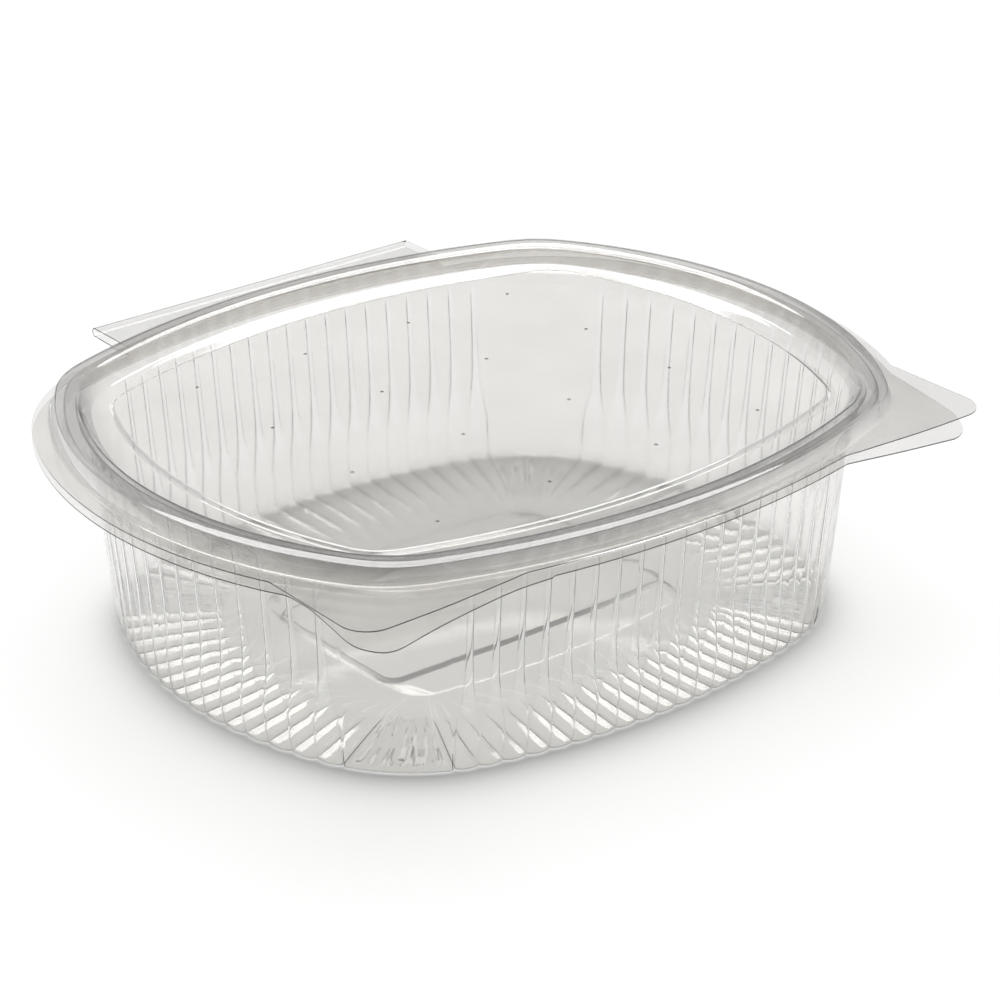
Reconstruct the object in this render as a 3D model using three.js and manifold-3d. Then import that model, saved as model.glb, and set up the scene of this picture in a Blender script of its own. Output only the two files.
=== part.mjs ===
// Clear oval salad tub with a hinged lid, thermoformed from one thin sheet of PET.
// The tub and the lid are two sheet shells that meet along a straight fold at the back.
// Millimetres, +Z up. X runs along the fold, the opening side faces -Y, the table is z = 0.

import * as THREE from "three";
import { mergeVertices } from "three/addons/utils/BufferGeometryUtils.js";
import Module from "manifold-3d";

// Sheet
const SHEET = 0.55;

// Outline of the tub along the outermost lines of its ribs, where it stands on the table
const FOOT = { halfLength: 78.1, halfWidth: 66.8, sideRadius: 166, endRadius: 95, cornerRadius: 41 };
const WALL_SPREAD = 3.7;
const WALL_TOP = 46.4;

// Ribs: rounded lobes, full width near the floor, narrowing to a line under the rim
const SIDE_LOBES = { count: 19, pitch: 5.46 };
const END_LOBES = { count: 14, pitch: 6.3 };
const LOBE_DEPTH = 0.6;
const LOBE_FULL_HEIGHT = 13;
const LOBE_TOP_WIDTH = 0.2;
const LOBE_TOP_DEPTH = 0.18;
const LOBE_WIDTH = 0.94;
const CORNER_STEPS = 5;

// Bottom edge, and the flutes that carry the notches between the ribs in over the floor
const EDGE_SETBACK = 1.0;
const EDGE_HEIGHT = 0.5;
const EDGE_INSET = 0.45;
const FLUTE_LENGTH = 23.8;
const FLUTE_RUN_IN = 2.5;
const FLUTE_START_RISE = 0.4;
const FLUTE_RISE = 0.6;
const FLUTE_EDGE_RISE = 0.4;

// Raised middle of the floor
const FLOOR_PANEL_FOOT = {
  halfLength: 41, halfWidth: 32.7, sideRadius: 180, endRadius: 150, cornerRadius: 7,
};
const FLOOR_PANEL_TOP = {
  halfLength: 39.6, halfWidth: 22.8, sideRadius: 900, endRadius: 300, cornerRadius: 3,
};
const FLOOR_PANEL_RISE = 1.9;

// Rim bead of the tub, underside of the sheet
const BEAD_TOP = 52.2;
const BEAD_INNER = { halfLength: 85.5, halfWidth: 71.5, sideRadius: 163, endRadius: 91, cornerRadius: 29 };
const BEAD_OUTER = { halfLength: 88.0, halfWidth: 73.4, sideRadius: 168, endRadius: 92, cornerRadius: 26 };
const BEAD_FOOT = { halfLength: 88.4, halfWidth: 73.8, sideRadius: 168, endRadius: 92, cornerRadius: 26 };

// Flat flanges of tub and lid
const FLANGE = { halfLength: 95.4, halfWidth: 76.8, sideRadius: 214, endRadius: 101, cornerRadius: 50 };
const TUB_FLANGE_TOP = 47.2;
const LID_FLANGE_TOP = 49.4;

// Lid, upper face of the sheet
const RIDGE_TOP = 53.6;
const RIDGE_EDGE_DROP = 0.45;
const RIDGE_STEP = 0.7;
const RIDGE_FOOT = { halfLength: 91.8, halfWidth: 76.0, sideRadius: 172, endRadius: 96, cornerRadius: 29 };
const RIDGE_WALL = { halfLength: 91.0, halfWidth: 75.4, sideRadius: 171, endRadius: 95, cornerRadius: 28 };
const RIDGE_OUTER = { halfLength: 90.2, halfWidth: 75.2, sideRadius: 170, endRadius: 94, cornerRadius: 24 };
const RIDGE_CROWN = { halfLength: 87.4, halfWidth: 72.7, sideRadius: 167, endRadius: 92, cornerRadius: 26 };
const RIDGE_INNER = { halfLength: 84.5, halfWidth: 70.0, sideRadius: 163, endRadius: 91, cornerRadius: 28 };
const SHELF_OUTER = { halfLength: 81.8, halfWidth: 67.0, sideRadius: 160, endRadius: 89, cornerRadius: 26 };
const SHELF_HEIGHT = 49.4;
const PANEL_FOOT = { halfLength: 75.3, halfWidth: 60.8, sideRadius: 172, endRadius: 106, cornerRadius: 14 };
const PANEL_EDGE = { halfLength: 74.4, halfWidth: 59.9, sideRadius: 172, endRadius: 106, cornerRadius: 13 };
const PANEL_INNER = { halfLength: 38, halfWidth: 31, sideRadius: 100, endRadius: 60, cornerRadius: 12 };
const PANEL_HEIGHT = 50.1;
const PANEL_CROWN = 1.2;

// Vent holes in the lid panel, in a square field of columns and rows
const VENT_DIAMETER = 1.3;
const VENT_SIDES = 6;
const VENTS_ACROSS = 4;
const VENT_PITCH = { x: 29.3, y: 28.8 };
const VENT_FIELD_MIDDLE = { x: -0.7, y: -1.9 };

// Fold line and the straight strips that lead to it
const FOLD_Y = 88;
const FOLD_Z = 48.2;
const FOLD_GAP = 0.3;
const STRIP_LEFT = -42.5;
const STRIP_RIGHT = 48;
const STRIP_ROOT_Y = 72;

// Pull tabs at both ends of the opening side
const TAB_SIDE = 85.3;
const TAB_FRONT = -74;
const TAB_ROUNDING = 6.5;
const TAB_STEPS = 4;
const TAB_SIDE_ROOT_Y = -44.5;
const LID_TAB_FRONT_ROOT = { x: 49, y: -72 };
const TUB_TAB_LEFT_ROOT = { x: -47, y: -71.8 };
const TUB_TAB_RIGHT_ROOT = { x: 44, y: -72.2 };
const TUB_TAB_LEFT = [
  [-83.3, -53.5], [-83.8, -58], [-84.7, -63.8], [-85.7, -70], [-85.4, -74], [-83.2, -77.7],
  [-80.2, -78.7], [-76.1, -78], [-71.2, -76.9], [-65.3, -75.8], [-57, -74.6],
];
const TUB_TAB_RIGHT = [
  [57.6, -75.1], [67.6, -76.9], [71.0, -77.5], [73.4, -76.9],
  [76.4, -74.9], [79.0, -71], [80.7, -66.5], [82.8, -57],
];

const LID_POINTS = 96;
const RIM_POINTS = 96;
const FLOOR_POINTS = 48;

// Centres and meeting angles of the three arcs that make a quarter of a bulged rectangle
function quarterArcs(shape) {
  const sideCentre = [0, shape.halfWidth - shape.sideRadius];
  const endCentre = [shape.halfLength - shape.endRadius, 0];
  const sideReach = shape.sideRadius - shape.cornerRadius;
  const endReach = shape.endRadius - shape.cornerRadius;
  const dx = endCentre[0] - sideCentre[0];
  const dy = endCentre[1] - sideCentre[1];
  const apart = Math.hypot(dx, dy);
  const along = (sideReach ** 2 - endReach ** 2 + apart ** 2) / (2 * apart);
  const across = Math.sqrt(Math.max(sideReach ** 2 - along ** 2, 0));
  const cornerCentre = [
    sideCentre[0] + (dx * along + dy * across) / apart,
    sideCentre[1] + (dy * along - dx * across) / apart,
  ];
  return {
    sideCentre,
    endCentre,
    cornerCentre,
    endTurn: Math.atan2(cornerCentre[1], cornerCentre[0] - endCentre[0]),
    sideTurn: Math.atan2(cornerCentre[1] - sideCentre[1], cornerCentre[0]),
  };
}

// Point of the outline whose outward normal has the given direction, moved out by growth
function outlinePoint(shape, turn, growth = 0) {
  const arcs = quarterArcs(shape);
  const c = Math.cos(turn);
  const s = Math.sin(turn);
  const quarterTurn = Math.atan2(Math.abs(s), Math.abs(c));
  let centre = arcs.cornerCentre;
  let radius = shape.cornerRadius;
  if (quarterTurn <= arcs.endTurn) {
    centre = arcs.endCentre;
    radius = shape.endRadius;
  } else if (quarterTurn >= arcs.sideTurn) {
    centre = arcs.sideCentre;
    radius = shape.sideRadius;
  }
  return [
    Math.sign(c) * centre[0] + (radius + growth) * c,
    Math.sign(s) * centre[1] + (radius + growth) * s,
  ];
}

// Evenly spread directions, denser round the four corners than along the sides
function spreadTurns(shape, count) {
  const arcs = quarterArcs(shape);
  const perQuarter = count / 4;
  const cornerShare = Math.round(perQuarter * 0.42);
  const endShare = Math.round((perQuarter - cornerShare) * 0.46);
  const sideShare = perQuarter - cornerShare - endShare;
  const quarter = [];
  for (let i = 0; i < endShare; i += 1) {
    quarter.push((arcs.endTurn * i) / endShare);
  }
  for (let i = 0; i < cornerShare; i += 1) {
    quarter.push(arcs.endTurn + ((arcs.sideTurn - arcs.endTurn) * i) / cornerShare);
  }
  for (let i = 0; i < sideShare; i += 1) {
    quarter.push(arcs.sideTurn + ((Math.PI / 2 - arcs.sideTurn) * i) / sideShare);
  }
  const mirrored = [0, ...quarter.slice(1).reverse().map((turn) => Math.PI / 2 - turn)];
  const turns = [];
  for (let q = 0; q < 4; q += 1) {
    const inQuarter = q % 2 === 0 ? quarter : mirrored;
    turns.push(...inQuarter.map((turn) => (q * Math.PI) / 2 + turn));
  }
  return turns;
}

function plainRing(shape, turns, height) {
  return turns.map((turn) => [...outlinePoint(shape, turn), height]);
}

// Turn from the middle of an end (k even) or a side (k odd) to the point this far along the foot
function turnAlongFoot(k, distance) {
  const arcs = quarterArcs(FOOT);
  const cornerTurn = arcs.sideTurn - arcs.endTurn;
  const middle = k % 2 === 0
    ? { radius: FOOT.endRadius, turn: arcs.endTurn }
    : { radius: FOOT.sideRadius, turn: Math.PI / 2 - arcs.sideTurn };
  const away = Math.abs(distance);
  const beyond = away - middle.radius * middle.turn;
  const turn = beyond < 0 ? away / middle.radius : middle.turn + beyond / FOOT.cornerRadius;
  return Math.sign(distance) * Math.min(turn, middle.turn + cornerTurn);
}

// Stations round the tub wall: four per rib and a few on each smooth corner
function ribStations() {
  const stations = [];
  for (let k = 0; k < 4; k += 1) {
    const middle = (k * Math.PI) / 2;
    const [lobes, nextLobes] = k % 2 === 0 ? [END_LOBES, SIDE_LOBES] : [SIDE_LOBES, END_LOBES];
    for (let i = 0; i < lobes.count; i += 1) {
      const centre = (i - (lobes.count - 1) / 2) * lobes.pitch;
      for (const part of [-1, -0.5, 0.5, 1]) {
        const reach = (part * lobes.pitch) / 2;
        stations.push({ k, middle, centre, reach, deep: Math.abs(part) === 1 ? 1 : 0.2 });
      }
    }
    const start = turnAlongFoot(k, (lobes.count * lobes.pitch) / 2);
    const end = Math.PI / 2 - turnAlongFoot(k + 1, (nextLobes.count * nextLobes.pitch) / 2);
    for (let i = 1; i < CORNER_STEPS; i += 1) {
      const turn = middle + start + ((end - start) * i) / CORNER_STEPS;
      stations.push({ k, middle: turn, centre: 0, reach: 0, deep: 0 });
    }
  }
  return stations;
}

// One ring of the ribbed wall or floor: notches move inwards by inset and up by raise
function ribRing(stations, level) {
  return stations.map((station) => {
    const along = station.centre + station.reach * level.width;
    const turn = station.middle + turnAlongFoot(station.k, along);
    const point = outlinePoint(FOOT, turn, level.growth - station.deep * level.inset);
    return [...point, level.height + station.deep * level.raise];
  });
}

// Direction of the outline point that lies at the given angle seen from the middle
function turnAtAngle(shape, angle) {
  let low = angle - Math.PI / 4;
  let high = angle + Math.PI / 4;
  for (let i = 0; i < 50; i += 1) {
    const middle = (low + high) / 2;
    const point = outlinePoint(shape, middle);
    const off = Math.atan2(
      point[1] * Math.cos(angle) - point[0] * Math.sin(angle),
      point[0] * Math.cos(angle) + point[1] * Math.sin(angle),
    );
    if (off < 0) {
      low = middle;
    } else {
      high = middle;
    }
  }
  return (low + high) / 2;
}

function angleOf(point) {
  const angle = Math.atan2(point[1], point[0]);
  return angle < 0 ? angle + 2 * Math.PI : angle;
}

// Edge of a flange: its outline, with the pieces that stick out put in by direction
function flangeEdge(turns, height, ears) {
  let ring = turns.map((turn) => [...outlinePoint(FLANGE, turn), height]);
  for (const ear of ears) {
    const first = angleOf(ear.from);
    const last = angleOf(ear.to);
    ring = ring.filter((point) => angleOf(point) < first - 0.01 || angleOf(point) > last + 0.01);
    ring.push([...outlinePoint(FLANGE, turnAtAngle(FLANGE, first)), height]);
    ring.push(...ear.points.map((point) => [point[0], point[1], point[2] ?? height]));
    ring.push([...outlinePoint(FLANGE, turnAtAngle(FLANGE, last)), height]);
  }
  ring.sort((a, b) => angleOf(a) - angleOf(b));
  return ring;
}

function stripEar(foldHeight) {
  const foldY = FOLD_Y - FOLD_GAP / 2;
  const points = [[STRIP_RIGHT, foldY, foldHeight], [STRIP_LEFT, foldY, foldHeight]];
  return { from: [STRIP_RIGHT, STRIP_ROOT_Y], to: [STRIP_LEFT, STRIP_ROOT_Y], points };
}

function lidTabs() {
  const centreX = TAB_SIDE - TAB_ROUNDING;
  const centreY = TAB_FRONT + TAB_ROUNDING;
  const corner = [];
  for (let i = 0; i <= TAB_STEPS; i += 1) {
    const angle = (Math.PI / 2) * (i / TAB_STEPS);
    corner.push([centreX + TAB_ROUNDING * Math.sin(angle), centreY - TAB_ROUNDING * Math.cos(angle)]);
  }
  const left = corner.map((point) => [-point[0], point[1]]).reverse();
  const root = LID_TAB_FRONT_ROOT;
  return [
    { from: [-TAB_SIDE, TAB_SIDE_ROOT_Y], to: [-root.x, root.y], points: left },
    { from: [root.x, root.y], to: [TAB_SIDE, TAB_SIDE_ROOT_Y], points: corner },
  ];
}

function tubTabs() {
  const leftRoot = [TUB_TAB_LEFT_ROOT.x, TUB_TAB_LEFT_ROOT.y];
  const rightRoot = [TUB_TAB_RIGHT_ROOT.x, TUB_TAB_RIGHT_ROOT.y];
  return [
    { from: [-TAB_SIDE, TAB_SIDE_ROOT_Y], to: leftRoot, points: TUB_TAB_LEFT },
    { from: rightRoot, to: [TAB_SIDE, TAB_SIDE_ROOT_Y], points: TUB_TAB_RIGHT },
  ];
}

// Sheet surface made of rings that grow from the middle outwards
class Sheet {
  constructor(middle) {
    this.points = [middle];
    this.faces = [];
    this.last = null;
  }

  addRing(ring) {
    const start = this.points.length;
    this.points.push(...ring);
    const ids = ring.map((_, i) => start + i);
    if (this.last === null) {
      ids.forEach((id, i) => this.faces.push([0, id, ids[(i + 1) % ids.length]]));
    } else if (this.last.length === ids.length) {
      this.joinEqual(this.last, ids);
    } else {
      this.joinByAngle(this.last, ids);
    }
    this.last = ids;
  }

  joinEqual(inner, outer) {
    for (let i = 0; i < inner.length; i += 1) {
      const j = (i + 1) % inner.length;
      this.faces.push([inner[i], outer[i], outer[j]]);
      this.faces.push([inner[i], outer[j], inner[j]]);
    }
  }

  joinByAngle(inner, outer) {
    const sorted = (ids) => [...ids].sort((a, b) => angleOf(this.points[a]) - angleOf(this.points[b]));
    const a = sorted(inner);
    const b = sorted(outer);
    const angleAt = (ids, i) => {
      const angle = angleOf(this.points[ids[i % ids.length]]);
      return i >= ids.length ? angle + 2 * Math.PI : angle;
    };
    let i = 0;
    let j = 0;
    while (i < a.length || j < b.length) {
      const stepInner = j >= b.length || (i < a.length && angleAt(a, i + 1) < angleAt(b, j + 1));
      const here = a[i % a.length];
      const there = b[j % b.length];
      if (stepInner) {
        i += 1;
        this.faces.push([here, there, a[i % a.length]]);
      } else {
        j += 1;
        this.faces.push([here, there, b[j % b.length]]);
      }
    }
  }

  normals() {
    const sums = this.points.map(() => new THREE.Vector3());
    for (const face of this.faces) {
      const [p, q, r] = face.map((id) => new THREE.Vector3(...this.points[id]));
      const normal = q.clone().sub(p).cross(r.clone().sub(p)).normalize();
      const corners = [[p, q, r], [q, r, p], [r, p, q]];
      corners.forEach(([at, next, previous], k) => {
        const angle = next.clone().sub(at).angleTo(previous.clone().sub(at));
        sums[face[k]].addScaledVector(normal, angle);
      });
    }
    return sums.map((sum) => sum.normalize());
  }

  // Closed solid: this skin, its copy moved by the given distance along the normals, and the edge
  solid(distance) {
    const normals = this.normals();
    const count = this.points.length;
    const moved = this.points.map((point, i) => [
      point[0] + normals[i].x * distance,
      point[1] + normals[i].y * distance,
      point[2] + normals[i].z * distance,
    ]);
    this.last.forEach((id) => {
      moved[id][0] = this.points[id][0];
      moved[id][1] = this.points[id][1];
      moved[id][2] = this.points[id][2] + distance;
    });
    const upper = this.faces.map((face) => face.map((id) => id + count));
    const lower = this.faces.map(([p, q, r]) => [p, r, q]);
    const edge = [];
    this.last.forEach((id, i) => {
      const next = this.last[(i + 1) % this.last.length];
      edge.push([id, next, next + count], [id, next + count, id + count]);
    });
    const all = distance > 0
      ? [...upper, ...lower, ...edge]
      : [...upper, ...lower, ...edge].map(([p, q, r]) => [p, r, q]);
    return { points: [...this.points, ...moved], faces: all };
  }
}

function tubSolid() {
  const floorTurns = spreadTurns(FLOOR_PANEL_FOOT, FLOOR_POINTS);
  const rimTurns = spreadTurns(BEAD_OUTER, RIM_POINTS);
  const stations = ribStations();
  const spreadAt = (height) => (WALL_SPREAD * height) / WALL_TOP;
  const levels = [
    { growth: -FLUTE_LENGTH, height: 0, width: LOBE_WIDTH, inset: 0, raise: 0 },
    { growth: -FLUTE_LENGTH + FLUTE_RUN_IN, height: 0, width: LOBE_WIDTH, inset: 0, raise: FLUTE_START_RISE },
    { growth: -EDGE_SETBACK, height: 0, width: LOBE_WIDTH, inset: EDGE_INSET, raise: FLUTE_RISE },
    { growth: 0, height: EDGE_HEIGHT, width: LOBE_WIDTH, inset: LOBE_DEPTH, raise: FLUTE_EDGE_RISE },
    { growth: spreadAt(3), height: 3, width: LOBE_WIDTH, inset: LOBE_DEPTH, raise: 0 },
    {
      growth: spreadAt(LOBE_FULL_HEIGHT),
      height: LOBE_FULL_HEIGHT,
      width: LOBE_WIDTH,
      inset: LOBE_DEPTH,
      raise: 0,
    },
    { growth: WALL_SPREAD, height: WALL_TOP, width: LOBE_TOP_WIDTH, inset: LOBE_TOP_DEPTH, raise: 0 },
  ];
  const sheet = new Sheet([0, 0, FLOOR_PANEL_RISE]);
  sheet.addRing(plainRing(FLOOR_PANEL_TOP, floorTurns, FLOOR_PANEL_RISE));
  sheet.addRing(plainRing(FLOOR_PANEL_FOOT, floorTurns, 0));
  for (const level of levels) {
    sheet.addRing(ribRing(stations, level));
  }
  sheet.addRing(plainRing(BEAD_INNER, rimTurns, BEAD_TOP));
  sheet.addRing(plainRing(BEAD_OUTER, rimTurns, BEAD_TOP));
  sheet.addRing(plainRing(BEAD_FOOT, rimTurns, TUB_FLANGE_TOP - SHEET));
  const ears = [...tubTabs(), stripEar(FOLD_Z - FOLD_GAP / 2 - SHEET)];
  sheet.addRing(flangeEdge(rimTurns, TUB_FLANGE_TOP - SHEET, ears));
  return sheet.solid(SHEET);
}

function lidSolid() {
  const turns = spreadTurns(RIDGE_OUTER, LID_POINTS);
  const middleTurns = spreadTurns(PANEL_INNER, FLOOR_POINTS);
  const sheet = new Sheet([0, 0, PANEL_HEIGHT + PANEL_CROWN]);
  sheet.addRing(plainRing(PANEL_INNER, middleTurns, PANEL_HEIGHT + PANEL_CROWN * 0.75));
  sheet.addRing(plainRing(PANEL_EDGE, turns, PANEL_HEIGHT));
  sheet.addRing(plainRing(PANEL_FOOT, turns, SHELF_HEIGHT));
  sheet.addRing(plainRing(SHELF_OUTER, turns, SHELF_HEIGHT));
  sheet.addRing(plainRing(RIDGE_INNER, turns, RIDGE_TOP - RIDGE_EDGE_DROP));
  sheet.addRing(plainRing(RIDGE_CROWN, turns, RIDGE_TOP));
  sheet.addRing(plainRing(RIDGE_OUTER, turns, RIDGE_TOP - RIDGE_EDGE_DROP));
  sheet.addRing(plainRing(RIDGE_WALL, turns, LID_FLANGE_TOP + RIDGE_STEP));
  sheet.addRing(plainRing(RIDGE_FOOT, turns, LID_FLANGE_TOP));
  const ears = [...lidTabs(), stripEar(FOLD_Z + FOLD_GAP / 2 + SHEET)];
  sheet.addRing(flangeEdge(turns, LID_FLANGE_TOP, ears));
  return sheet.solid(-SHEET);
}

const wasm = await Module();
wasm.setup();

function toManifold(solid) {
  const vertProperties = new Float32Array(solid.points.flat());
  const triVerts = new Uint32Array(solid.faces.flat());
  return new wasm.Manifold(new wasm.Mesh({ numProp: 3, vertProperties, triVerts }));
}

// Small upright pegs where the lid panel has its vent holes
function ventHoles() {
  const pegHeight = 8;
  const radius = VENT_DIAMETER / 2;
  const holes = [];
  for (let row = 0; row < VENTS_ACROSS; row += 1) {
    for (let column = 0; column < VENTS_ACROSS; column += 1) {
      const geometry = new THREE.CylinderGeometry(radius, radius, pegHeight, VENT_SIDES);
      geometry.rotateX(Math.PI / 2);
      geometry.translate(
        VENT_FIELD_MIDDLE.x + (column - (VENTS_ACROSS - 1) / 2) * VENT_PITCH.x,
        VENT_FIELD_MIDDLE.y + (row - (VENTS_ACROSS - 1) / 2) * VENT_PITCH.y,
        PANEL_HEIGHT,
      );
      holes.push(geometryToManifold(geometry));
    }
  }
  return holes;
}

function geometryToManifold(geometry) {
  geometry.deleteAttribute("normal");
  geometry.deleteAttribute("uv");
  const merged = mergeVertices(geometry, 1e-4);
  return new wasm.Manifold(new wasm.Mesh({
    numProp: 3,
    vertProperties: new Float32Array(merged.attributes.position.array),
    triVerts: new Uint32Array(merged.index.array),
  }));
}

function toGeometry(manifold) {
  const mesh = manifold.getMesh();
  const geometry = new THREE.BufferGeometry();
  geometry.setAttribute("position", new THREE.BufferAttribute(mesh.vertProperties, 3));
  geometry.setIndex(new THREE.BufferAttribute(mesh.triVerts, 1));
  geometry.computeVertexNormals();
  return geometry;
}

const clearPlastic = new THREE.MeshStandardMaterial({ color: 0xdedcd6, roughness: 0.12, metalness: 0 });

const tub = new THREE.Mesh(toGeometry(toManifold(tubSolid())), clearPlastic);
tub.name = "tub";

let lidBody = toManifold(lidSolid());
for (const hole of ventHoles()) {
  lidBody = lidBody.subtract(hole);
}
const lid = new THREE.Mesh(toGeometry(lidBody), clearPlastic);
lid.name = "lid";

// The origin is on the table, under the middle of the whole outline, fold strip and tabs included
const pack = new THREE.Group();
pack.name = "salad_tub";
pack.add(tub, lid);
const box = new THREE.Box3().setFromObject(pack);
pack.position.set(-(box.min.x + box.max.x) / 2, -(box.min.y + box.max.y) / 2, 0);

export default pack;
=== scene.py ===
import math

import bmesh
import bpy
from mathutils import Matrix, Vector


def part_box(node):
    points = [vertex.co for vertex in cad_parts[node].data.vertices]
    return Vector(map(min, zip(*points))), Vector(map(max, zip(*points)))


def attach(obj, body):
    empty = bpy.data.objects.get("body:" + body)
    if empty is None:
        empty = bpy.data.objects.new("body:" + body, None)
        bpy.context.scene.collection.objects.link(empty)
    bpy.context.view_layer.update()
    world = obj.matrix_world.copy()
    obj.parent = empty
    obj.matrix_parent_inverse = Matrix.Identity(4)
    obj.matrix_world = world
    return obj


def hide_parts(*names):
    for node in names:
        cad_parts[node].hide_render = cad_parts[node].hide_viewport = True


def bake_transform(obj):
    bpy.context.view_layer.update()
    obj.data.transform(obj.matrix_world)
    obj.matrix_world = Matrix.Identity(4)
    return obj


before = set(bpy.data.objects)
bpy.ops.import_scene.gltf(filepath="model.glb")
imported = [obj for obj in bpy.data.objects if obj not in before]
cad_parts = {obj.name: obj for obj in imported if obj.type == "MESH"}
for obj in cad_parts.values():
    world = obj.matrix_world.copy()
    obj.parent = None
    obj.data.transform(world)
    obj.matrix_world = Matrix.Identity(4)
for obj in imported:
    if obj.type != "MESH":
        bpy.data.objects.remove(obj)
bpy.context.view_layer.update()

scene = bpy.context.scene

# ---------------------------------------------------------------------------------------------
# Camera. It stands well off in front of the tub's left front corner and looks down on it
# through a long lens, so the oval is hardly foreshortened.
eye = Vector((-0.3944, -0.5043, 0.3297))
aim = Vector((0.0061, -0.0067, 0.0239))
camera_data = bpy.data.cameras.new("camera")
camera_data.sensor_width = 36
camera_data.lens = 114.06
camera_data.clip_start = 0.01
camera = bpy.data.objects.new("camera", camera_data)
camera.location = eye
camera.rotation_euler = (aim - eye).to_track_quat("-Z", "Y").to_euler()
scene.collection.objects.link(camera)
scene.camera = camera

# ---------------------------------------------------------------------------------------------
# Tub. One clear PET sheet, about 0.25 mm thick, sucked into a heated mould: an oval bowl with
# tapered ribs round its walls that run in under the floor as flutes, a hollow bead round the
# mouth for the lid to snap on, and a flat trimmed flange with two pull tabs.
# Sizes are in millimetres. Each outline is a bulged rectangle, given by its half sizes and the
# radii of the arcs along its long sides, along its ends and round its corners.
MM = 0.001
SHEET = 0.25
CLEAR_TINT = (0.965, 0.957, 0.942)
FLANGE = dict(half_length=95.4, half_width=76.8, side_radius=214, end_radius=101, corner_radius=50)
MIDDLE_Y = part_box("lid")[0][1] / MM + FLANGE["half_width"]

FOOT = dict(half_length=78.1, half_width=66.8, side_radius=166, end_radius=95, corner_radius=41)
FLOOR_PANEL_TOP = dict(half_length=39.6, half_width=21.6, side_radius=900, end_radius=300, corner_radius=3)
FLOOR_PANEL_FOOT = dict(half_length=41, half_width=32.7, side_radius=180, end_radius=150, corner_radius=7)
FLOOR_PANEL_RISE = 1.2
WALL_TOP, WALL_SPREAD = 46.4, 3.7

SIDE_LOBES, SIDE_PITCH = 19, 5.46
END_LOBES, END_PITCH = 14, 6.3
RIB_PLACES = [-1, -0.92, -0.75, -0.42, 0, 0.42, 0.75, 0.92, 1]
RIB_FULLNESS = 0.85
CORNER_STEPS = 44
# height up the wall, share of the pitch that a rib fills there, and how far it stands out
RIB_TAPER = [
    (0, 0.95, 0.68), (10, 0.93, 0.6), (13, 0.78, 0.55), (17, 0.5, 0.5), (21, 0.33, 0.45), (25, 0.25, 0.4),
    (30, 0.21, 0.34), (36, 0.2, 0.28), (42, 0.2, 0.22), (WALL_TOP, 0.2, 0.15),
]
WALL_HEIGHTS = [2.6, 6, 10, 11.5, 13, 15, 17, 19, 21, 25, 30, 36, 42, WALL_TOP]
# above this height the crests of the ribs are painted fully lighter, below it only partly
LIGHT_CRESTS_FROM = 14
FOOT_RIB_WIDTH = 0.95
# how the foot turns up into the wall: growth, height, and how far the notches go in and up
FOOT_ROUNDING = [
    (-1.4, 0.02, 0.15, 0.38), (-0.85, 0.15, 0.35, 0.36), (-0.5, 0.5, 0.52, 0.3), (-0.36, 1.1, 0.64, 0.15),
]
FLUTE_LENGTH, FLUTE_RISE = 23.8, 0.45
# distance from a flute's inner end, and the share of its full rise there
FLUTE_PROFILE = [(0, 0), (1.5, 0.2), (4, 0.5), (8, 0.85), (13, 1), (18, 1), (20, 0.95), (21.6, 0.8)]

BEAD_INNER = dict(half_length=85.5, half_width=71.5, side_radius=163, end_radius=91, corner_radius=29)
BEAD_OUTER = dict(half_length=88.0, half_width=73.4, side_radius=168, end_radius=92, corner_radius=26)
BEAD_FOOT = dict(half_length=88.4, half_width=73.8, side_radius=168, end_radius=92, corner_radius=26)
BEAD_TOP = 52.2
TUB_FLANGE_TOP = 47.2

FOLD_Y, FOLD_Z, FOLD_GAP, FOLD_ROUND = 88.0, 48.2, 1.7, 1.1
# the last value makes the fold strip's colour a little lighter than the rest of the sheet
STRIP_LEFT, STRIP_RIGHT, STRIP_ROOT_Y, STRIP_LIGHTENING = -42.5, 48.0, 72.0, 0.8
TAB_SIDE, TAB_SIDE_ROOT_Y = 85.3, -44.5
TUB_TAB_LEFT = [
    (-84.6, -43.5), (-83.6, -47), (-83.3, -53.5), (-83.8, -58), (-84.7, -63.8), (-85.7, -70), (-85.4, -74),
    (-83.2, -77.7), (-80.2, -78.7), (-76.1, -78), (-71.2, -76.9), (-65.3, -75.8), (-57, -74.6),
    (-47, -73.6), (-38, -74),
]
TUB_TAB_RIGHT = [
    (44, -72.2), (57.6, -75.1), (67.6, -76.9), (71.0, -77.5), (73.4, -76.9),
    (76.4, -74.9), (79.0, -71), (80.7, -66.5), (82.8, -57), (TAB_SIDE, TAB_SIDE_ROOT_Y),
]


def arcs_of(shape):
    """Centres and meeting turns of the three arcs in a quarter of a bulged rectangle."""
    side_y = shape["half_width"] - shape["side_radius"]
    end_x = shape["half_length"] - shape["end_radius"]
    side_reach = shape["side_radius"] - shape["corner_radius"]
    end_reach = shape["end_radius"] - shape["corner_radius"]
    apart = math.hypot(end_x, side_y)
    along = (side_reach ** 2 - end_reach ** 2 + apart ** 2) / (2 * apart)
    across = math.sqrt(max(side_reach ** 2 - along ** 2, 0))
    corner_x = (end_x * along - side_y * across) / apart
    corner_y = side_y + (-side_y * along - end_x * across) / apart
    end_turn = math.atan2(corner_y, corner_x - end_x)
    side_turn = math.atan2(corner_y - side_y, corner_x)
    return side_y, end_x, corner_x, corner_y, end_turn, side_turn


def outline(shape, turn, growth=0.0):
    """Point of the outline whose outward normal has this turn, moved out by growth."""
    side_y, end_x, corner_x, corner_y, end_turn, side_turn = arcs_of(shape)
    c, s = math.cos(turn), math.sin(turn)
    quarter_turn = math.atan2(abs(s), abs(c))
    centre_x, centre_y, radius = corner_x, corner_y, shape["corner_radius"]
    if quarter_turn <= end_turn:
        centre_x, centre_y, radius = end_x, 0.0, shape["end_radius"]
    elif quarter_turn >= side_turn:
        centre_x, centre_y, radius = 0.0, side_y, shape["side_radius"]
    x = centre_x * math.copysign(1, c) + (radius + growth) * c
    y = centre_y * math.copysign(1, s) + (radius + growth) * s
    return x, y


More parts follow.
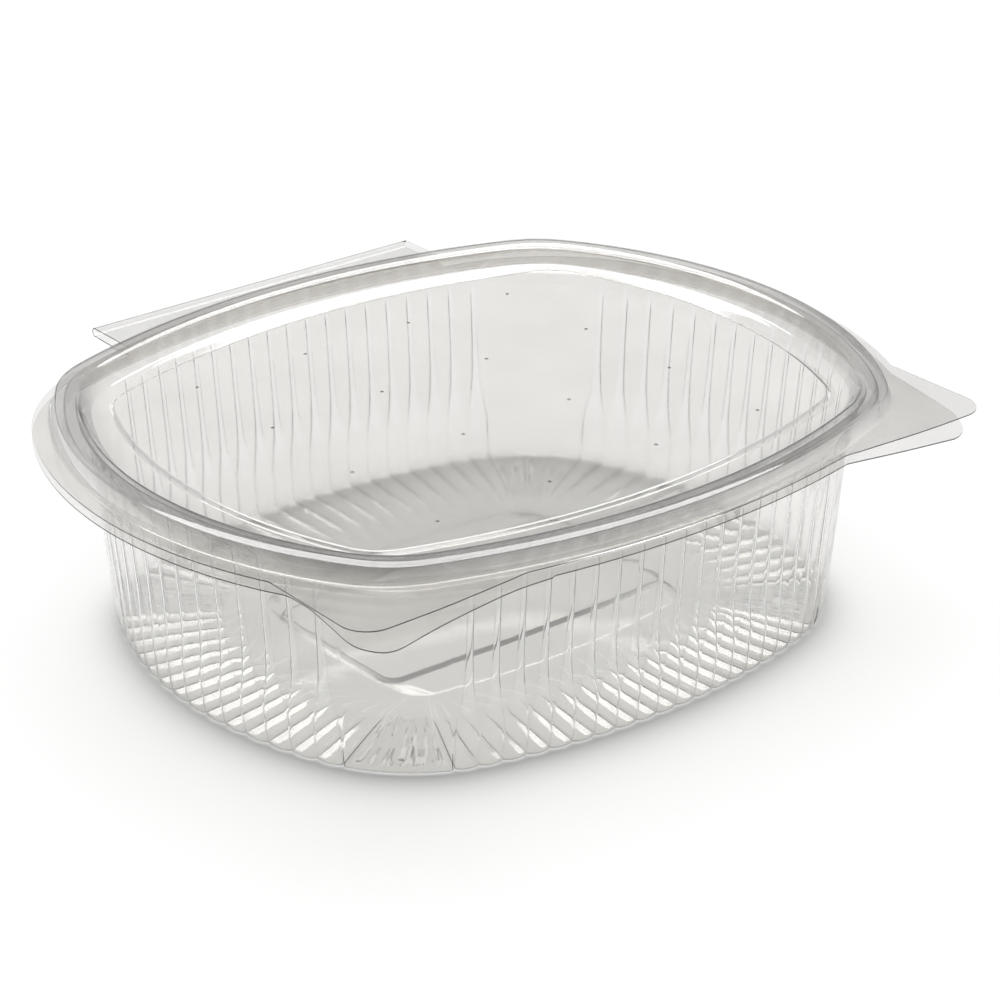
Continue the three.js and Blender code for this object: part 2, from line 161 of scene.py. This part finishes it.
def turn_along_foot(wall, distance):
    """Turn from the middle of a wall (0 and 2 are the ends) to a point this far along it."""
    end_turn, side_turn = arcs_of(FOOT)[4:]
    radius, reach = FOOT["side_radius"], math.pi / 2 - side_turn
    if wall % 2 == 0:
        radius, reach = FOOT["end_radius"], end_turn
    beyond = abs(distance) - radius * reach
    turn = abs(distance) / radius if beyond < 0 else reach + beyond / FOOT["corner_radius"]
    return math.copysign(min(turn, reach + side_turn - end_turn), distance)


def rib_stations():
    """Stations round the tub: nine across each rib, one between two ribs, and the corners.
    Each has its rib's centre, its reach from there, how deep in the notch it is, and the
    place it has where the ribs have ended and the stations are spread evenly."""
    stations = []
    across = len(RIB_PLACES)
    for wall in range(4):
        middle = wall * math.pi / 2
        count, pitch = (END_LOBES, END_PITCH) if wall % 2 == 0 else (SIDE_LOBES, SIDE_PITCH)
        next_count, next_pitch = (SIDE_LOBES, SIDE_PITCH) if wall % 2 == 0 else (END_LOBES, END_PITCH)
        for i in range(count):
            centre = (i - (count - 1) / 2) * pitch
            for step, place in enumerate(RIB_PLACES):
                deep = 1 - (1 - place * place) ** RIB_FULLNESS
                even = centre + (step - across // 2) * pitch / (across + 1)
                reach = place * pitch / 2
                stations.append(
                    dict(wall=wall, middle=middle, centre=centre, reach=reach, deep=deep, even=even)
                )
            if i < count - 1:
                notch = centre + pitch / 2
                stations.append(dict(wall=wall, middle=middle, centre=notch, reach=0, deep=1, even=notch))
        start = turn_along_foot(wall, count * pitch / 2)
        end = math.pi / 2 - turn_along_foot(wall + 1, next_count * next_pitch / 2)
        for i in range(1, CORNER_STEPS):
            turn = middle + start + (end - start) * i / CORNER_STEPS
            stations.append(dict(wall=wall, middle=turn, centre=0, reach=0, deep=0, even=0))
    return stations


STATIONS = rib_stations()
TURNS = [station["middle"] + turn_along_foot(station["wall"], station["even"]) for station in STATIONS]


def rib_ring(growth, height, width, inset, rise, crest_light=0.0):
    """One ring of the ribbed bowl: the notches move in by inset and up by rise, and the
    crests of the ribs are painted this much lighter."""
    ring = []
    for station in STATIONS:
        along = station["centre"] + station["reach"] * width
        turn = station["middle"] + turn_along_foot(station["wall"], along)
        x, y = outline(FOOT, turn, growth - station["deep"] * inset)
        on_rib = station["even"] != 0 or station["centre"] != 0 or station["reach"] != 0
        crest = 1 - station["deep"] if on_rib else 0
        ring.append((x, y, height + station["deep"] * rise, crest * crest_light))
    return ring


def rib_at(height):
    """Width share and depth of a rib at this height up the wall."""
    for low, high in zip(RIB_TAPER, RIB_TAPER[1:]):
        if height <= high[0]:
            share = (height - low[0]) / (high[0] - low[0])
            return [a + (b - a) * share for a, b in zip(low[1:], high[1:])]


def plain_ring(shape, height, growth=0.0, turns=TURNS, painted_shading=0.0):
    """One smooth ring, with a point on the same turn as each station of the ribbed bowl.
    The painted shading given (1 painted lighter, -1 painted darker) is strongest on the left front, the
    side that faces the camera."""
    ring = []
    for turn in turns:
        here = painted_shading * (0.6 - 0.25 * math.sin(turn) - 0.2 * math.cos(turn))
        ring.append((*outline(shape, turn, growth), height, here))
    return ring


def riser_ring(height, growth):
    """The step up to the floor panel, painted darker along its front, where it shows as a dark line."""
    ring = []
    for x, y, z, painted_shading in plain_ring(FLOOR_PANEL_TOP, height, growth):
        front = max(-y / FLOOR_PANEL_TOP["half_width"], 0) ** 4
        # painted shade along the front of the riser, fading towards its right end
        ring.append((x, y, z, -1.8 * front * min((FLOOR_PANEL_TOP["half_length"] - x) / 25, 1)))
    return ring


def smooth_line(points, steps=6):
    """The points joined by a smooth curve that passes through each of them."""
    curve = []
    for i in range(len(points) - 1):
        a, b = Vector(points[max(i - 1, 0)]), Vector(points[i])
        c, d = Vector(points[i + 1]), Vector(points[min(i + 2, len(points) - 1)])
        for step in range(steps):
            t = step / steps
            bend = (2 * a - 5 * b + 4 * c - d) * t * t + (3 * b - a - 3 * c + d) * t ** 3
            curve.append(0.5 * (2 * b + (c - a) * t + bend))
    return [tuple(point) for point in curve] + [tuple(points[-1])]


def reach_along(ray, line):
    """How far out a ray from the middle meets a line of points, and at what height."""
    for a, b in zip(line, line[1:]):
        start = math.atan2(a[1], a[0])
        span = (math.atan2(b[1], b[0]) - start) % math.tau
        if (ray - start) % math.tau < span < math.pi:
            # the ray meets the straight line from a to b at this share of it
            c, s = math.cos(ray), math.sin(ray)
            share = (a[0] * s - a[1] * c) / ((a[0] - b[0]) * s - (a[1] - b[1]) * c)
            x, y, z = (p + (q - p) * share for p, q in zip(a, b))
            return math.hypot(x, y), z
    return 0, 0


def flange_ring(height, tabs, fold_height, foot, turns=TURNS):
    """The trimmed edge of a flange: its oval, with the tabs and the fold strip sticking out."""
    # its turns are a hair off the axes, where two quarters of the oval meet
    oval = [(*outline(FLANGE, step * math.pi / 720 - 1e-4), height) for step in range(1441)]
    strip = [
        (STRIP_RIGHT, STRIP_ROOT_Y, height), (STRIP_RIGHT, FOLD_Y - FOLD_ROUND, fold_height),
        (STRIP_LEFT, FOLD_Y - FOLD_ROUND, fold_height), (STRIP_LEFT, STRIP_ROOT_Y, height),
    ]
    tabs = [[(x, y, height) for x, y in tab] for tab in tabs]
    ring = []
    for x, y, z, painted_shading in plain_ring(foot, height, 0, turns):
        ray = math.atan2(y, x) % math.tau
        distance, level = max(reach_along(ray, line) for line in [oval, strip, *tabs])
        distance = max(distance, math.hypot(x, y) + 0.6)
        x, y = distance * math.cos(ray), distance * math.sin(ray)
        on_strip = y > FLANGE["half_width"] + 0.5
        ring.append((x, y, level or height, STRIP_LIGHTENING if on_strip else 0))
    return ring


def sheet_mesh(name, rings, bevels):
    """A closed sheet: the first ring is extruded from ring to ring, filled in the middle,
    rounded along the chosen rings by the radius given, and gets its thickness downwards."""
    bm = bmesh.new()
    place = bm.verts.layers.int.new("place")
    painted_shading = bm.verts.layers.float.new("painted_shading")
    start = []
    for i, point in enumerate(rings[0]):
        vert = bm.verts.new(point[:3])
        vert[place] = i
        start.append(vert)
    edges = [bm.edges.new((start[i], start[(i + 1) % len(start)])) for i in range(len(start))]
    loops = [edges]
    for ring in rings[1:]:
        made = bmesh.ops.extrude_edge_only(bm, edges=edges)["geom"]
        edges = [item for item in made if isinstance(item, bmesh.types.BMEdge)]
        for vert in (item for item in made if isinstance(item, bmesh.types.BMVert)):
            vert.co = ring[vert[place]][:3]
            # each point takes its ring's painted light or shade
            vert[painted_shading] = ring[vert[place]][3]
        edges = [edge for edge in edges if edge.is_boundary]
        loops.append(edges)
    bmesh.ops.contextual_create(bm, geom=loops[0])
    bmesh.ops.recalc_face_normals(bm, faces=bm.faces)
    for ring, radius in bevels:
        bmesh.ops.bevel(
            bm, geom=[edge for edge in loops[ring] if edge.is_valid], offset=radius, offset_type="OFFSET",
            segments=3, profile=0.5, affect="EDGES", clamp_overlap=True, material=-1,
        )
    bmesh.ops.recalc_face_normals(bm, faces=bm.faces)
    highest = max(bm.faces, key=lambda face: face.calc_center_median().z)
    if highest.normal.z < 0:
        bmesh.ops.reverse_faces(bm, faces=bm.faces)
    bmesh.ops.solidify(bm, geom=bm.faces, thickness=SHEET)
    bmesh.ops.translate(bm, verts=bm.verts, vec=(0, MIDDLE_Y, 0))
    bmesh.ops.scale(bm, verts=bm.verts, vec=(MM, MM, MM))
    mesh = bpy.data.meshes.new(name)
    bm.to_mesh(mesh)
    bm.free()
    mesh.shade_smooth()
    mesh.set_sharp_from_angle(angle=math.radians(42))
    sheet = bpy.data.objects.new(name, mesh)
    scene.collection.objects.link(sheet)
    return sheet


def noise(tree, where, scale, detail):
    """A cloudy pattern on Object coordinates."""
    clouds = tree.nodes.new("ShaderNodeTexNoise")
    clouds.inputs["Scale"].default_value = scale
    clouds.inputs["Detail"].default_value = detail
    tree.links.new(where.outputs["Object"], clouds.inputs["Vector"])
    return clouds.outputs["Fac"]


def spread(tree, value, start, end, low=0.0, high=1.0):
    """The value, taken from the range start to end into the range low to high."""
    range_node = tree.nodes.new("ShaderNodeMapRange")
    for socket, number in [("From Min", start), ("From Max", end), ("To Min", low), ("To Max", high)]:
        range_node.inputs[socket].default_value = number
    tree.links.new(value, range_node.inputs["Value"])
    return range_node.outputs["Result"]


def colours_along(tree, value, stops):
    """The colour that a ramp through these stops, a place and a colour each, has at the value."""
    ramp = tree.nodes.new("ShaderNodeValToRGB")
    first, last = ramp.color_ramp.elements
    first.position, first.color = stops[0][0], (*stops[0][1], 1)
    last.position, last.color = stops[-1][0], (*stops[-1][1], 1)
    for place, colour in stops[1:-1]:
        ramp.color_ramp.elements.new(place).color = (*colour, 1)
    tree.links.new(value, ramp.inputs["Fac"])
    return ramp.outputs["Color"]


def sheet_colour(tree, haze, tint):
    """A faint haze over the tint of the sheet, times painted light and shade: the crests of the ribs are
    painted lighter, and the bead, ridge, panel edge and floor riser are painted darker, in place of the
    dark bands they show."""
    painted_shading = tree.nodes.new("ShaderNodeAttribute")
    painted_shading.attribute_name = "painted_shading"
    painted_level = spread(tree, painted_shading.outputs["Fac"], -2, 1)
    # the greys that the painted shade takes the sheet's colour down to
    shaded, deeply_shaded = (0.62, 0.615, 0.615), (0.32, 0.315, 0.315)
    shade_and_haze = tree.nodes.new("ShaderNodeMix")
    shade_and_haze.data_type = "RGBA"
    shade_and_haze.blend_type = "MULTIPLY"
    shade_and_haze.inputs["Factor"].default_value = 1
    by_painted_shading = colours_along(tree, painted_level, [(0, deeply_shaded), (1 / 3, shaded), (2 / 3, tint), (1, (1, 1, 1))])
    by_haze = colours_along(tree, haze, [(0.3, (0.97, 0.97, 0.97)), (0.7, (1, 1, 1))])
    tree.links.new(by_painted_shading, shade_and_haze.inputs["A"])
    tree.links.new(by_haze, shade_and_haze.inputs["B"])
    return shade_and_haze.outputs["Result"]


def lamp_light(tree, where):
    """What the sheet lets through of a lamp's light: less of it low down, where the ribs are
    deepest and the foot turns under, so that the tub has the dense shadow at its foot."""
    apart = tree.nodes.new("ShaderNodeSeparateXYZ")
    tree.links.new(where.outputs["Object"], apart.inputs["Vector"])
    height = spread(tree, apart.outputs["Z"], 0, 0.03)
    outward = tree.nodes.new("ShaderNodeVectorMath")
    outward.operation = "MULTIPLY_ADD"
    per_length, per_width = 1 / (FOOT["half_length"] * MM), 1 / (FOOT["half_width"] * MM)
    outward.inputs[1].default_value = (per_length, per_width, 0)
    outward.inputs[2].default_value = (0, -MIDDLE_Y * MM * per_width, 0)
    tree.links.new(where.outputs["Object"], outward.inputs[0])
    from_middle = tree.nodes.new("ShaderNodeVectorMath")
    from_middle.operation = "LENGTH"
    tree.links.new(outward.outputs["Vector"], from_middle.inputs[0])
    level = tree.nodes.new("ShaderNodeMath")
    level.operation = "ADD"
    tree.links.new(height, level.inputs[0])
    tree.links.new(spread(tree, from_middle.outputs["Value"], 0.85, 0.95, 0, 0.035), level.inputs[1])
    stops = [(0, (0.87, 0.87, 0.865))]
    for place, bright in [(0.053, 0.87), (0.063, 0.56), (0.3, 0.68), (0.55, 0.92), (0.8, 0.985)]:
        stops.append((place, (bright, bright, bright * 0.995)))
    stops.append((1, (0.985, 0.985, 0.98)))
    through = tree.nodes.new("ShaderNodeBsdfTransparent")
    tree.links.new(colours_along(tree, level.outputs["Value"], stops), through.inputs["Color"])
    return through.outputs["BSDF"]


def clear_sheet(name, tint, waviness):
    """Clear PET: a hard smooth surface with faint forming waves and fine rub marks. Lamps shine
    through it, so that it casts the pale shadow of clear plastic."""
    material = bpy.data.materials.new(name)
    material.use_nodes = True
    tree = material.node_tree
    tree.nodes.clear()
    where = tree.nodes.new("ShaderNodeTexCoord")
    haze = noise(tree, where, scale=55, detail=3)
    waves = noise(tree, where, scale=130, detail=2)
    bump = tree.nodes.new("ShaderNodeBump")
    bump.inputs["Strength"].default_value = waviness
    bump.inputs["Distance"].default_value = 0.0002
    tree.links.new(waves, bump.inputs["Height"])
    plastic = tree.nodes.new("ShaderNodeBsdfPrincipled")
    plastic.inputs["IOR"].default_value = 1.57
    plastic.inputs["Transmission Weight"].default_value = 1.0
    tree.links.new(sheet_colour(tree, haze, tint), plastic.inputs["Base Color"])
    tree.links.new(spread(tree, haze, 0, 1, 0.02, 0.06), plastic.inputs["Roughness"])
    tree.links.new(bump.outputs["Normal"], plastic.inputs["Normal"])
    lamp_ray = tree.nodes.new("ShaderNodeLightPath")
    mix = tree.nodes.new("ShaderNodeMixShader")
    tree.links.new(lamp_ray.outputs["Is Shadow Ray"], mix.inputs["Fac"])
    tree.links.new(plastic.outputs["BSDF"], mix.inputs[1])
    tree.links.new(lamp_light(tree, where), mix.inputs[2])
    out = tree.nodes.new("ShaderNodeOutputMaterial")
    tree.links.new(mix.outputs["Shader"], out.inputs["Surface"])
    return material


tub_rings = [
    plain_ring(FLOOR_PANEL_TOP, FLOOR_PANEL_RISE + SHEET, -0.2),
    riser_ring(FLOOR_PANEL_RISE + SHEET, 0),
    riser_ring(SHEET + 0.3, 0.5),
    plain_ring(FLOOR_PANEL_TOP, SHEET + 0.29, 0.7),
    plain_ring(FLOOR_PANEL_FOOT, SHEET + 0.2, -0.3),
    plain_ring(FLOOR_PANEL_FOOT, SHEET),
]
panel_foot = len(tub_rings) - 1
for along, share in FLUTE_PROFILE:
    tub_rings.append(rib_ring(along - FLUTE_LENGTH, SHEET, FOOT_RIB_WIDTH, 0, FLUTE_RISE * share))
for growth, height, inset, rise in FOOT_ROUNDING:
    tub_rings.append(rib_ring(growth, height + SHEET, FOOT_RIB_WIDTH, inset, rise))
for height in WALL_HEIGHTS:
    growth = WALL_SPREAD * height / WALL_TOP - SHEET
    # how much lighter the crests of the ribs are painted at this height
    crest_light = 1.0 if height > LIGHT_CRESTS_FROM else 0.4
    tub_rings.append(rib_ring(growth, height, *rib_at(height), 0, crest_light))
bead_start = len(tub_rings)
tub_tabs = [smooth_line(TUB_TAB_LEFT), smooth_line(TUB_TAB_RIGHT)]
# painted shade: the bead's rings are coloured darker, in place of the dark bands it shows
tub_rings += [
    plain_ring(BEAD_INNER, BEAD_TOP + SHEET, painted_shading=-0.5),
    plain_ring(BEAD_OUTER, BEAD_TOP + SHEET, SHEET, painted_shading=-0.5),
    plain_ring(BEAD_FOOT, TUB_FLANGE_TOP, SHEET),
    flange_ring(TUB_FLANGE_TOP, tub_tabs, FOLD_Z - FOLD_GAP / 2, BEAD_FOOT),
]
tub_sheet = sheet_mesh(
    "tub_sheet", tub_rings,
    [(panel_foot, 0.15), (bead_start, 0.5), (bead_start + 1, 0.5), (bead_start + 2, 0.4)],
)
tub_sheet.data.materials.append(clear_sheet("clear_tub_sheet", CLEAR_TINT, 0.15))
# large faces rule the shading where a rib fades out, which keeps its end free of dark teeth
even_shading = tub_sheet.modifiers.new("even_shading", "WEIGHTED_NORMAL")
even_shading.keep_sharp = True
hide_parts("tub")
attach(tub_sheet, "tub")

# ---------------------------------------------------------------------------------------------
# Lid. The same sheet as the tub, formed beside it: a hollow ridge that snaps over the tub's
# bead, a sunk shelf, a slightly domed middle panel with pricked vent holes, and a trimmed
# flange with two pull tabs of its own.
RIDGE_TOP, RIDGE_EDGE_DROP, RIDGE_STEP, LID_FLANGE_TOP = 53.6, 0.45, 0.7, 49.4
RIDGE_FOOT = dict(half_length=91.8, half_width=76.0, side_radius=172, end_radius=96, corner_radius=29)
RIDGE_WALL = dict(half_length=91.0, half_width=75.4, side_radius=171, end_radius=95, corner_radius=28)
RIDGE_OUTER = dict(half_length=90.2, half_width=75.2, side_radius=170, end_radius=94, corner_radius=24)
RIDGE_CROWN = dict(half_length=87.4, half_width=72.7, side_radius=167, end_radius=92, corner_radius=26)
RIDGE_INNER = dict(half_length=84.5, half_width=70.0, side_radius=163, end_radius=91, corner_radius=28)
SHELF_OUTER = dict(half_length=81.8, half_width=67.0, side_radius=160, end_radius=89, corner_radius=26)
PANEL_FOOT = dict(half_length=75.3, half_width=60.8, side_radius=172, end_radius=106, corner_radius=14)
PANEL_EDGE = dict(half_length=74.4, half_width=59.9, side_radius=172, end_radius=106, corner_radius=13)
SHELF_HEIGHT, PANEL_HEIGHT, PANEL_CROWN = 49.4, 50.1, 1.2
DOME_SHARES = [0.04, 0.1, 0.18, 0.28, 0.4, 0.52, 0.64, 0.76, 0.88]
TAB_FRONT, TAB_ROUNDING = -74.0, 6.5
LID_TAB_ROOT = [(43, -72.2), (47, -72.7), (51.5, -73), (59, -73.5), (67, -73.9)]
VENT_RADIUS, VENTS_ACROSS, PIN_LENGTH = 0.4, 4, 4
VENT_PITCH, VENT_FIELD_MIDDLE = (29.3, 28.8), (-0.7, -1.9)

# a hair off the axes, where two quarters of an outline meet
LID_TURNS = [step * math.tau / 640 + 0.001 for step in range(640)]

lid_rings = []
for share in DOME_SHARES:
    height = PANEL_HEIGHT + PANEL_CROWN * (1 - share * share)
    edge_ring = plain_ring(PANEL_EDGE, height, 0, LID_TURNS)
    lid_rings.append([(x * share, y * share, z, painted_shading) for x, y, z, painted_shading in edge_ring])
lid_rings.append(plain_ring(PANEL_EDGE, PANEL_HEIGHT + 0.02, -0.5, LID_TURNS))
panel_edge = len(lid_rings)
# painted shade: the panel edge, the shelf and above all the ridge are coloured darker, in place of the dark
# bands they show
lid_rings += [
    plain_ring(PANEL_EDGE, PANEL_HEIGHT, 0, LID_TURNS, -0.9),
    plain_ring(PANEL_FOOT, SHELF_HEIGHT, 0, LID_TURNS),
    plain_ring(SHELF_OUTER, SHELF_HEIGHT, 0, LID_TURNS, -0.4),
    plain_ring(RIDGE_INNER, RIDGE_TOP - RIDGE_EDGE_DROP, 0, LID_TURNS, -1),
    plain_ring(RIDGE_CROWN, RIDGE_TOP, 0, LID_TURNS, -1),
    plain_ring(RIDGE_OUTER, RIDGE_TOP - RIDGE_EDGE_DROP, 0, LID_TURNS, -1),
    plain_ring(RIDGE_WALL, LID_FLANGE_TOP + RIDGE_STEP, 0, LID_TURNS, -0.5),
    plain_ring(RIDGE_FOOT, LID_FLANGE_TOP, 0, LID_TURNS),
]
tab_corner = []
for step in range(9):
    angle = math.pi / 2 * step / 8
    x = TAB_SIDE - TAB_ROUNDING + TAB_ROUNDING * math.sin(angle)
    tab_corner.append((x, TAB_FRONT + TAB_ROUNDING - TAB_ROUNDING * math.cos(angle)))
tab_front = smooth_line([*LID_TAB_ROOT, tab_corner[0]])
right_tab = [*tab_front[:-1], *tab_corner, (TAB_SIDE, TAB_SIDE_ROOT_Y)]
left_tab = [(-x, y) for x, y in reversed(right_tab)]
lid_fold_height = FOLD_Z + FOLD_GAP / 2 + SHEET
lid_rings.append(flange_ring(LID_FLANGE_TOP, [left_tab, right_tab], lid_fold_height, RIDGE_FOOT, LID_TURNS))
lid_sheet = sheet_mesh(
    "lid_sheet", lid_rings,
    [(panel_edge, 0.25), (panel_edge + 1, 0.25), (panel_edge + 2, 0.5), (panel_edge + 3, 0.7),
     (panel_edge + 4, 1.0), (panel_edge + 5, 0.3), (panel_edge + 6, 0.25), (panel_edge + 7, 0.25)],
)
bm = bmesh.new()
half_field = (VENTS_ACROSS - 1) / 2
for i in range(VENTS_ACROSS ** 2):
    across, along = i % VENTS_ACROSS - half_field, i // VENTS_ACROSS - half_field
    x = VENT_FIELD_MIDDLE[0] + across * VENT_PITCH[0]
    y = VENT_FIELD_MIDDLE[1] + along * VENT_PITCH[1] + MIDDLE_Y
    pin = bmesh.ops.create_cone(
        bm, cap_ends=True, segments=20, radius1=VENT_RADIUS, radius2=VENT_RADIUS, depth=PIN_LENGTH,
    )
    bmesh.ops.translate(bm, verts=pin["verts"], vec=(x, y, PANEL_HEIGHT + PANEL_CROWN / 2))
bmesh.ops.scale(bm, verts=bm.verts, vec=(MM, MM, MM))
pin_mesh = bpy.data.meshes.new("vent_pins")
bm.to_mesh(pin_mesh)
bm.free()
pins = bpy.data.objects.new("vent_pins", pin_mesh)
scene.collection.objects.link(pins)
punch = lid_sheet.modifiers.new("vents", "BOOLEAN")
punch.operation = "DIFFERENCE"
punch.object = pins
bpy.context.view_layer.objects.active = lid_sheet
bpy.ops.object.modifier_apply(modifier="vents")
bpy.data.objects.remove(pins)
lid_sheet.data.materials.append(clear_sheet("clear_lid_sheet", CLEAR_TINT, 0.12))
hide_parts("lid")
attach(lid_sheet, "lid")

# ---------------------------------------------------------------------------------------------
# Fold. The tub and the lid are one sheet: behind the mouth a straight strip is creased over
# on itself, which is the hinge. This is the rounded crease between the two halves.
bm = bmesh.new()
outer = FOLD_GAP / 2 + SHEET
profile = [bm.verts.new((0, 0, -outer)), bm.verts.new((0, 0, -outer + SHEET))]
crease = bm.edges.new(profile)
bmesh.ops.spin(
    bm, geom=[*profile, crease], cent=(0, 0, 0), axis=(1, 0, 0), angle=math.pi, steps=12, use_merge=False,
)
wall = bmesh.ops.extrude_face_region(bm, geom=bm.faces[:])["geom"]
far_end = [item for item in wall if isinstance(item, bmesh.types.BMVert)]
bmesh.ops.translate(bm, verts=far_end, vec=(STRIP_RIGHT - STRIP_LEFT, 0, 0))
bmesh.ops.recalc_face_normals(bm, faces=bm.faces)
bmesh.ops.translate(bm, verts=bm.verts, vec=(STRIP_LEFT, FOLD_Y - FOLD_ROUND + MIDDLE_Y, FOLD_Z))
bmesh.ops.scale(bm, verts=bm.verts, vec=(MM, MM, MM))
fold_mesh = bpy.data.meshes.new("fold")
bm.to_mesh(fold_mesh)
bm.free()
fold_mesh.shade_smooth()
fold_mesh.set_sharp_from_angle(angle=math.radians(42))
fold = bpy.data.objects.new("fold", fold_mesh)
scene.collection.objects.link(fold)
fold.data.materials.append(clear_sheet("clear_fold", CLEAR_TINT, 0.1))
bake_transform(fold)

# ---------------------------------------------------------------------------------------------
# Studio. A wide white floor, a large soft light overhead that draws the white lines along the
# bead and the ribs, and a dimmer soft box behind, mirrored in the flat lid and flanges.
FLOOR_RADIUS = 30.0
SOFT_BOX_BRIGHTNESS = 0.35

bm = bmesh.new()
bmesh.ops.create_circle(bm, cap_ends=True, segments=96, radius=FLOOR_RADIUS)
floor_mesh = bpy.data.meshes.new("floor")
bm.to_mesh(floor_mesh)
bm.free()
floor = bpy.data.objects.new("floor", floor_mesh)
scene.collection.objects.link(floor)
paper = bpy.data.materials.new("white_paper")
paper.use_nodes = True
paper_shader = paper.node_tree.nodes["Principled BSDF"]
paper_shader.inputs["Base Color"].default_value = (0.9, 0.9, 0.9, 1)
paper_shader.inputs["Roughness"].default_value = 0.9
floor.data.materials.append(paper)

sky = bpy.data.lights.new("overhead", "SUN")
sky.energy = 3.5
sky.angle = math.radians(62)
overhead = bpy.data.objects.new("overhead", sky)
overhead.rotation_euler = Vector((0.24, 0.32, 1)).to_track_quat("Z", "Y").to_euler()
scene.collection.objects.link(overhead)

box = bpy.data.lights.new("soft_box", "AREA")
box.shape = "RECTANGLE"
box.size, box.size_y = 0.7, 0.45
box.energy = SOFT_BOX_BRIGHTNESS * math.pi * box.size * box.size_y
soft_box = bpy.data.objects.new("soft_box", box)
soft_box.location = (0.39, 0.73, 0.44)
soft_box.rotation_euler = Vector((0.568, 0.704, 0.432)).to_track_quat("Z", "Y").to_euler()
scene.collection.objects.link(soft_box)

world = bpy.data.worlds.new("studio")
world.use_nodes = True
world.node_tree.nodes["Background"].inputs["Color"].default_value = (0.12, 0.12, 0.12, 1)
world.node_tree.nodes["Background"].inputs["Strength"].default_value = 1.0
scene.world = world
scene.view_settings.view_transform = "Standard"
scene.cycles.max_bounces = 20
scene.cycles.transmission_bounces = 20
scene.cycles.transparent_max_bounces = 20
scene.cycles.caustics_reflective = False
scene.cycles.caustics_refractive = False
